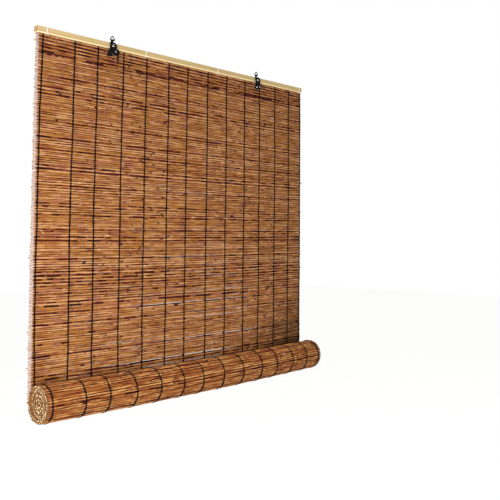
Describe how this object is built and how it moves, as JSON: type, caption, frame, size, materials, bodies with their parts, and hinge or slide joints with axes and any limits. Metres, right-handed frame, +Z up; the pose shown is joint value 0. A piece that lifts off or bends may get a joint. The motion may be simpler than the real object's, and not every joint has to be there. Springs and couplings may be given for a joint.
{
  "type": "reed roll up blind",
  "caption": "Roll-up blind of brown reeds woven with black thread, clamped in pale wooden battens with ring hangers, a cord lock and a pulley, its lower end rolled up in front.",
  "frame": {"origin": "on the level line through the inner tops of the hanging rings, at the middle of the blind's width", "axes": "+X along the reeds, to the right as seen from the room; +Y away from the room, towards the window; +Z up"},
  "size_m": [1, 0.0963, 0.9592],
  "materials": {
    "reed": "carbonised natural reed, satin, brown with darker streaks",
    "batten_wood": "planed pale softwood, unvarnished",
    "black_thread": "twisted black cotton warp thread",
    "clear_nylon": "whitish nylon line",
    "black_steel": "black lacquered stamped steel and wire",
    "zinc_steel": "bright zinc plated",
    "wheel_nylon": "moulded black nylon"
  },
  "bodies": {
    "headrail": {"front_batten": "batten_wood", "rear_batten": "batten_wood", "batten_tie_1": "clear_nylon", "batten_tie_2": "clear_nylon", "batten_tie_3": "clear_nylon", "batten_tie_4": "clear_nylon", "reed_mat": "reed", "warp_thread_01": "black_thread", "warp_thread_02": "black_thread", "warp_thread_03": "black_thread", "warp_thread_04": "black_thread", "warp_thread_05": "black_thread", "warp_thread_06": "black_thread", "warp_thread_07": "black_thread", "warp_thread_08": "black_thread", "warp_thread_09": "black_thread", "warp_thread_10": "black_thread", "warp_thread_11": "black_thread", "warp_thread_12": "black_thread", "warp_thread_13": "black_thread", "warp_thread_14": "black_thread", "lock_rear_plate": "black_steel", "lock_front_plate": "black_steel", "lock_sleeve": "zinc_steel", "lock_screw": "zinc_steel", "lock_rivet": "zinc_steel", "pulley_rear_plate": "black_steel", "pulley_front_plate": "black_steel", "pulley_sleeve": "zinc_steel", "pulley_screw": "zinc_steel", "pulley_rivet_left": "zinc_steel", "pulley_rivet_right": "zinc_steel"},
    "roll": {"reed_roll": "reed"},
    "lock_eye_ring": {"lock_ring": "black_steel"},
    "pulley_eye_ring": {"pulley_ring": "black_steel"},
    "lock_sheave": {"lock_wheel": "wheel_nylon"},
    "brake_jaw": {"lock_jaw": "black_steel"},
    "left_sheave": {"pulley_wheel_left": "wheel_nylon"},
    "right_sheave": {"pulley_wheel_right": "wheel_nylon"}
  },
  "joints": [
    {"name": "roll_lift", "type": "slide", "parent": "headrail", "child": "roll", "axis": [0, 0, 1], "range_m": [0, 0.72], "deforming": ["reed_mat", "warp_thread_01", "warp_thread_02", "warp_thread_03", "warp_thread_04", "warp_thread_05", "warp_thread_06", "warp_thread_07", "warp_thread_08", "warp_thread_09", "warp_thread_10", "warp_thread_11", "warp_thread_12", "warp_thread_13", "warp_thread_14"]},
    {"name": "lock_ring_swing", "type": "hinge", "parent": "headrail", "child": "lock_eye_ring", "pos_m": [-0.285, 0, -0.00959], "axis": [1, 0, 0], "range_deg": [-90, 90]},
    {"name": "pulley_ring_swing", "type": "hinge", "parent": "headrail", "child": "pulley_eye_ring", "pos_m": [0.26905, 0, -0.00971], "axis": [0.9925, 0, 0.1219], "range_deg": [-90, 90]},
    {"name": "lock_wheel_spin", "type": "hinge", "parent": "headrail", "child": "lock_sheave", "pos_m": [-0.2775, -0.00122, -0.03979], "axis": [0, 1, 0], "continuous": true},
    {"name": "left_wheel_spin", "type": "hinge", "parent": "headrail", "child": "left_sheave", "pos_m": [0.26776, -0.00122, -0.04846], "axis": [0, 1, 0], "continuous": true},
    {"name": "right_wheel_spin", "type": "hinge", "parent": "headrail", "child": "right_sheave", "pos_m": [0.27967, -0.00122, -0.047], "axis": [0, 1, 0], "continuous": true},
    {"name": "brake_jaw_swing", "type": "hinge", "parent": "headrail", "child": "brake_jaw", "pos_m": [-0.285, -0.00122, -0.02559], "axis": [0, 1, 0], "range_deg": [0, 28]}
  ]
}
